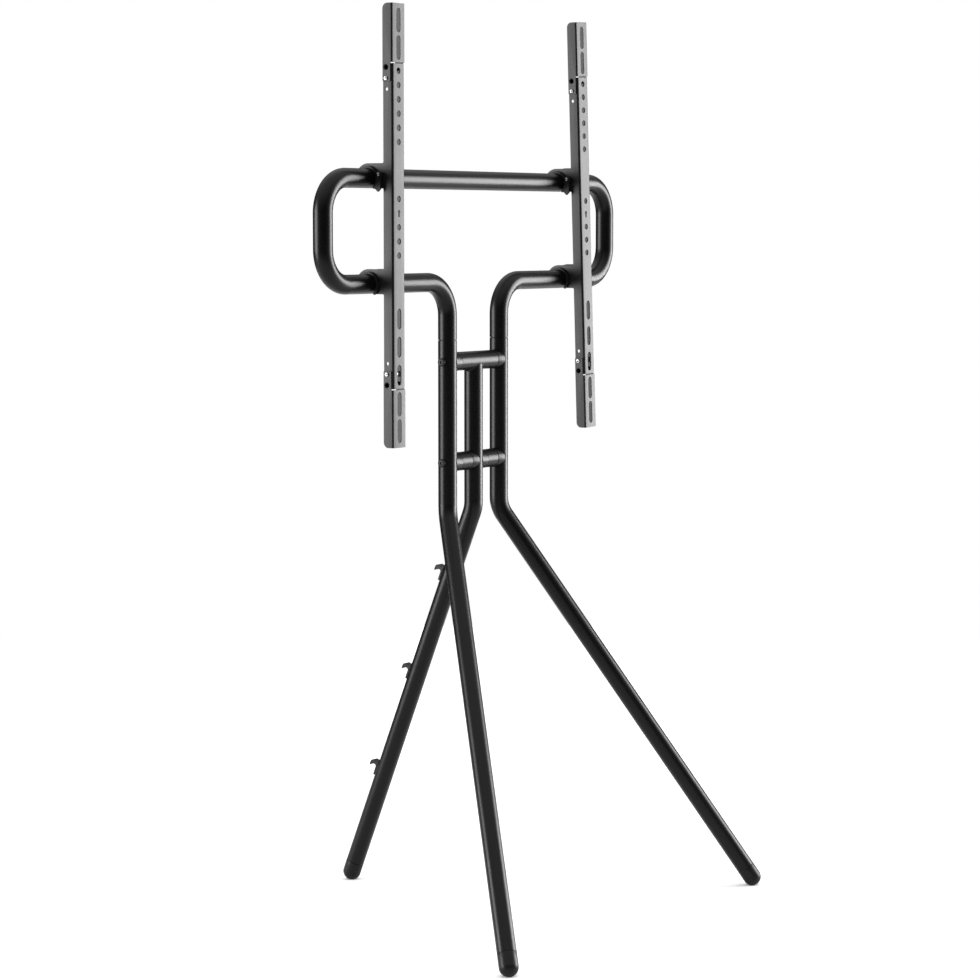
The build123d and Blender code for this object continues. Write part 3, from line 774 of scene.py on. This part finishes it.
def panScrewShape(side):
    # a domed head with a cross recess, flat on the extension's flange
    seat = arm["half"] + extension["gap"] + extension["sheet"]
    top, radius = pan["height"], pan["radius"]
    rings = [xRing(seat - pan["length"], pan["shank"] - 0.4), xRing(seat - pan["length"] + 0.4, pan["shank"])]
    rings += [xRing(seat, pan["shank"]), xRing(seat, radius - 0.15), xRing(seat + 0.15, radius)]
    wall = pan["wall"]
    for a in range(0, 70, 6):
        rise = (top - wall) * sin(radians(a)) / sin(radians(69))
        rings.append(xRing(seat + wall + rise, radius * cos(radians(a)) ** pan["crown"]))
    rings += [xRing(seat + top, lambda a: crossRadius(a) * 1.05)]
    rings += [xRing(seat + top - pan["deep"], lambda a: crossRadius(a) * 0.7)]
    points, faces = loft(rings)
    return [Vector((side * p.x, p.y + sideY, p.z)) for p in points], faces


def paintedRecessShadeShape(side):
    # a near-black plug in the screw's cross: painted shade standing in for the depth of the recess
    low = arm["half"] + extension["gap"] + extension["sheet"] + pan["height"] - pan["floor"]
    rings = [xRing(low - 0.4, lambda a: crossRadius(a) * 0.9), xRing(low, lambda a: crossRadius(a) * 0.98)]
    points, faces = loft(rings)
    return [Vector((side * p.x, p.y + sideY, p.z)) for p in points], faces


def bushShape(side):
    # a blind bush in an arm's end hole, open outwards
    face = arm["half"] + extension["gap"] + extension["sheet"] - bush["low"]
    inner = arm["half"] - arm["sheet"] - bush["depth"]
    rings = [xRing(inner, bush["radius"] - 0.4), xRing(inner + 0.4, bush["radius"])]
    rings += [xRing(x, r) for r, x in roundOver(bush["radius"], face, bush["edge"], -1)]
    rings += [xRing(face, bush["bore"] + 0.1), xRing(face - 0.2, bush["bore"])]
    rings += [xRing(inner + bush["floor"], bush["bore"])]
    points, faces = loft(rings)
    return [Vector((side * p.x, p.y + sideY, p.z)) for p in points], faces


def moved(shape, offset):
    points, faces = shape
    return [p + Vector(offset) for p in points], faces


def armPlace(side):
    # the arm's own axes, from where its two pairs of screws lie
    upper = centreOf(side + "_upper_extension_screws") / mm
    lower = centreOf(side + "_lower_extension_screws") / mm
    up = (upper - lower).normalized()
    forward = Vector((0, 1, 0))
    turned = Matrix((forward.cross(up), forward, up)).transposed().to_4x4()
    screwZ = arm["top"] - arm["sideFirst"] - arm["sidePitch"]
    origin = upper - up * screwZ - forward * sideY
    return toMetres @ Matrix.Translation(origin) @ turned


screwHeights = {"upper": arm["top"] - arm["sideFirst"] - arm["sidePitch"],
                "lower": arm["bottom"] + arm["sideFirst"] + arm["sidePitch"]}
for side in ("left", "right"):
    place = armPlace(side)
    body = side + "_arm"
    makePiece(side + "_channel", [channelShape()], body, "arm_coat", [side + "_arm_channel"], place)
    makePiece(side + "_upper_liner", [linerShape(), blockShape(), eyeBoss()], body, "black_plastic",
              [side + "_upper_hook_liner"], place)
    lower = [moved(shape, (0, 0, -hookStep)) for shape in (linerShape(), blockShape())]
    makePiece(side + "_lower_liner", lower, body, "black_plastic", [side + "_lower_hook_liner"], place)
    bushes = [moved(bushShape(sign), (0, 0, z)) for sign in (-1, 1)
              for z in (arm["top"] - arm["sideFirst"], arm["bottom"] + arm["sideFirst"])]
    makePiece(side + "_end_bushes", bushes, body, "black_plastic", [side + "_blind_bushes"], place)
    makePiece(side + "_catch_claw", [catchShape()], side + "_catch", "black_plastic",
              [side + "_hook_catch"], place)
    makePiece(side + "_catch_pivot", [catchScrewShape()], body, "plated_steel",
              [side + "_catch_screw"], place)
    for end, outward in (("upper", 1), ("lower", -1)):
        makePiece(f"{side}_{end}_tip", [extensionShape(outward)], body, "arm_coat",
                  [f"{side}_{end}_extension"], place)
        pair = [moved(panScrewShape(sign), (0, 0, screwHeights[end])) for sign in (-1, 1)]
        makePiece(f"{side}_{end}_pan_screws", pair, body, "plated_steel",
                  [f"{side}_{end}_extension_screws"], place)
        # the dark plugs in the cross recesses are painted shade, not parts of the screws
        shadePlugs = [moved(paintedRecessShadeShape(sign), (0, 0, screwHeights[end])) for sign in (-1, 1)]
        makePiece(f"{side}_{end}_pan_recesses", shadePlugs, body, "dark_bolt", (), place)
print("arms made")

# CAD nodes that stay as they are get their slot's finish
for part in frame["record"]["subparts"]:
    kept = frame["nodes"][part["node"]]
    if not kept.hide_render:
        kept.data.materials.clear()
        kept.data.materials.append(finishes[part["material_slot"]])

studio = {"floor": 0.9, "floorRough": 0.9, "floorSize": 3.0, "world": 1.0, "overhead": 1.8,
          "away": 7.0, "height": 1.0, "boxes": {"right": {"turn": 110, "size": (5.0, 2.8), "radiance": 26.0},
                                                "left": {"turn": -78, "size": (4.2, 3.2), "radiance": 19.0}}}
view = {"azimuth": -54.56, "elevation": 5.34, "distance": 4.2186, "aim": 0.471, "lens": 103.0, "sensor": 36.0}

target = Vector((0, 0, cadLow.z + view["aim"] * (cadHigh.z - cadLow.z)))
target.x, target.y = (cadLow.x + cadHigh.x) / 2, (cadLow.y + cadHigh.y) / 2


def outward(azimuth, elevation=0.0):
    a, e = radians(azimuth), radians(elevation)
    return Vector((sin(a) * cos(e), -cos(a) * cos(e), sin(e)))


def makeCamera():
    data = bpy.data.cameras.new("camera")
    data.lens, data.sensor_width = view["lens"], view["sensor"]
    data.clip_end = 100.0
    camera = bpy.data.objects.new("camera", data)
    bpy.context.scene.collection.objects.link(camera)
    back = outward(view["azimuth"], view["elevation"])
    camera.location = target + back * view["distance"]
    camera.rotation_euler = (-back).to_track_quat("-Z", "Y").to_euler()
    bpy.context.scene.camera = camera


def makeSoftBox(name, box):
    width, height = box["size"]
    data = bpy.data.lights.new(name + "_softbox", "AREA")
    data.shape, data.size, data.size_y = "RECTANGLE", width, height
    data.energy = box["radiance"] * pi * width * height
    light = bpy.data.objects.new(name + "_softbox", data)
    bpy.context.scene.collection.objects.link(light)
    away = outward(view["azimuth"] + box["turn"])
    light.location = Vector((0, 0, studio["height"])) + away * studio["away"]
    light.rotation_euler = (-away).to_track_quat("-Z", "Z").to_euler()
    light.visible_camera = False


def makeFloor():
    mesh = bmesh.new()
    bmesh.ops.create_circle(mesh, cap_ends=True, segments=96, radius=studio["floorSize"])
    data = bpy.data.meshes.new("floor")
    mesh.to_mesh(data)
    mesh.free()
    material = bpy.data.materials.new("floor")
    material.use_nodes = True
    shader = material.node_tree.nodes["Principled BSDF"]
    shader.inputs["Base Color"].default_value = (studio["floor"],) * 3 + (1,)
    shader.inputs["Roughness"].default_value = studio["floorRough"]
    shader.inputs["Specular IOR Level"].default_value = 0.0
    data.materials.append(material)
    floor = bpy.data.objects.new("floor", data)
    bpy.context.scene.collection.objects.link(floor)


def makeWorld():
    # white to look at; for the light it gives, bright overhead and dark round the sides
    world = bpy.data.worlds.new("studio")
    bpy.context.scene.world = world
    world.use_nodes = True
    tree = world.node_tree
    tree.nodes.clear()
    wire = Wire(tree)
    direction = wire.node("TexCoord", out="Generated")
    height = wire.node("SeparateXYZ", values={"Vector": direction}, out="Z")
    dome = wire.node("ValToRGB", {"stops": ((0.25, 0.0), (0.85, 1.0))}, {"Fac": height})
    seen = wire.node("LightPath", out="Is Camera Ray")
    light = wire.node("Background", values={"Color": dome, "Strength": studio["overhead"]})
    white = wire.node("Background", values={"Color": (1, 1, 1, 1), "Strength": studio["world"]})
    both = wire.node("MixShader", values={0: seen, 1: light, 2: white})
    ending = tree.nodes.new("ShaderNodeOutputWorld")
    tree.links.new(both.socket, ending.inputs["Surface"])


makeCamera()
makeFloor()
makeWorld()
for name, box in studio["boxes"].items():
    makeSoftBox(name, box)
bpy.context.scene.view_settings.view_transform = "Standard"
print("studio ready")
